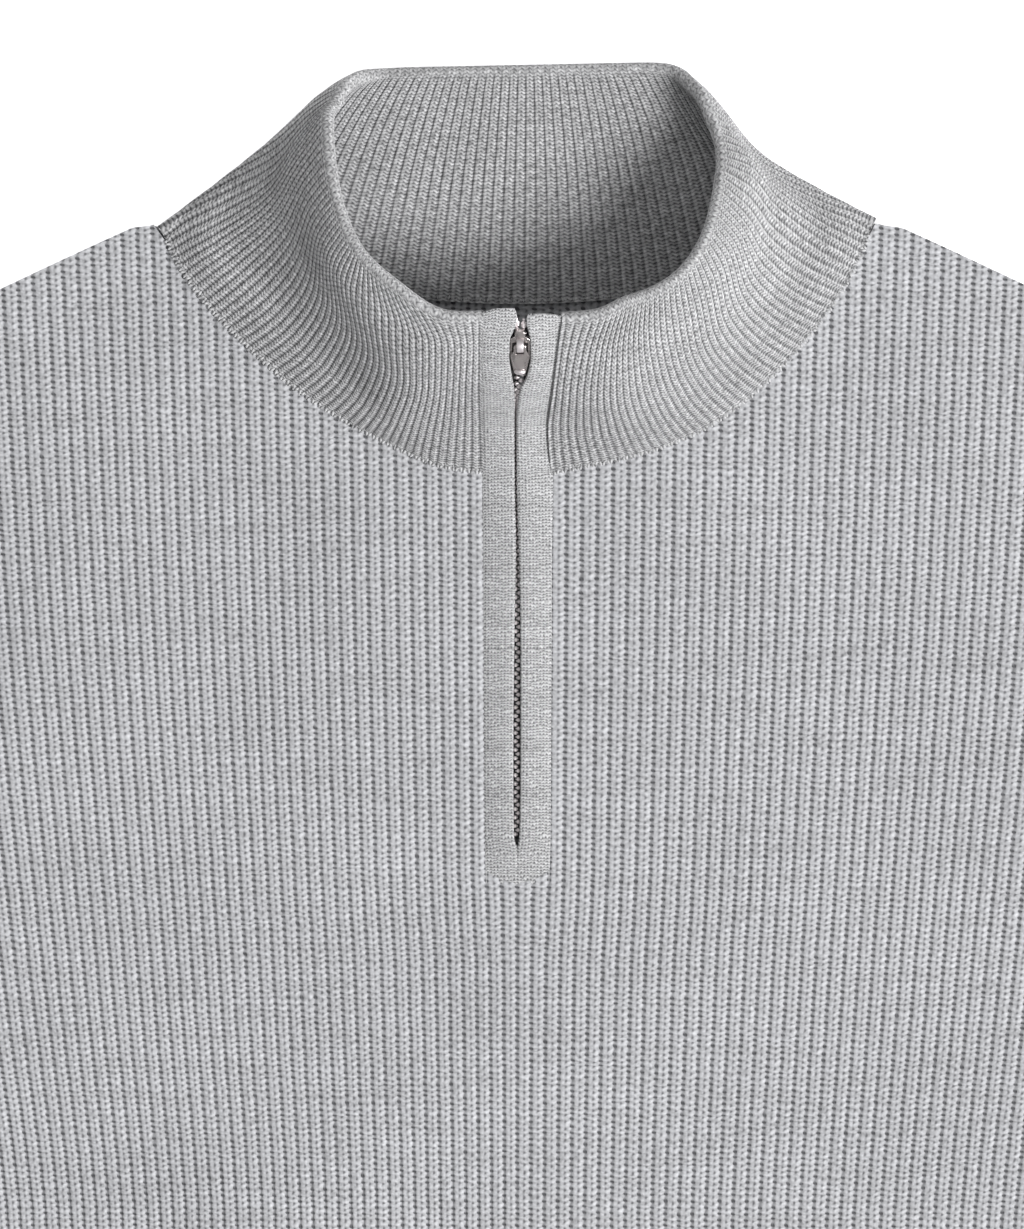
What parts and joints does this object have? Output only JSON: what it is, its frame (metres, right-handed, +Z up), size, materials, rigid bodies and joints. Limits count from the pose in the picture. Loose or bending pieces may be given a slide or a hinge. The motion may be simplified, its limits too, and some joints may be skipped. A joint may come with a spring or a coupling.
{
  "type": "half zip sweatshirt, a ribbed knit half-zip sweater laid flat",
  "caption": "A grey melange ribbed knit half-zip sweater with a doubled stand-up collar, fine knit zip plackets and a small metal zip, laid flat on its back.",
  "frame": {"origin": "on the surface the sweater lies on, under the middle of its plan box", "axes": "+X to the right of the picture, across both sleeves; +Y from the hem toward the collar; +Z up off the surface"},
  "size_m": [1.046, 0.7374, 0.0487],
  "materials": {
    "rib_knit": "half-cardigan rib knit in light grey melange wool and cotton yarn",
    "collar_rib_knit": "fine doubled rib knit in the same melange yarn",
    "fine_jersey": "fine plain knit strip with its courses across it",
    "zip_tape": "woven herringbone zip tape, dark grey",
    "antique_silver": "antique silver zip hardware, dark in its hollows"
  },
  "bodies": {
    "garment": {"back": "rib_knit", "front": "rib_knit", "sleeve_left": "rib_knit", "sleeve_right": "rib_knit", "collar": "collar_rib_knit", "placket_left": "fine_jersey", "placket_right": "fine_jersey", "zip_tape_left": "zip_tape", "zip_tape_right": "zip_tape", "zip_slider": "antique_silver"},
    "zip_pull": {"zip_pull": "antique_silver"}
  },
  "joints": [
    {"name": "pull_hinge", "type": "hinge", "parent": "garment", "child": "zip_pull", "pos_m": [0.001, 0.27292, 0.04432], "axis": [-1, 0, 0], "range_deg": [0, 150]}
  ]
}
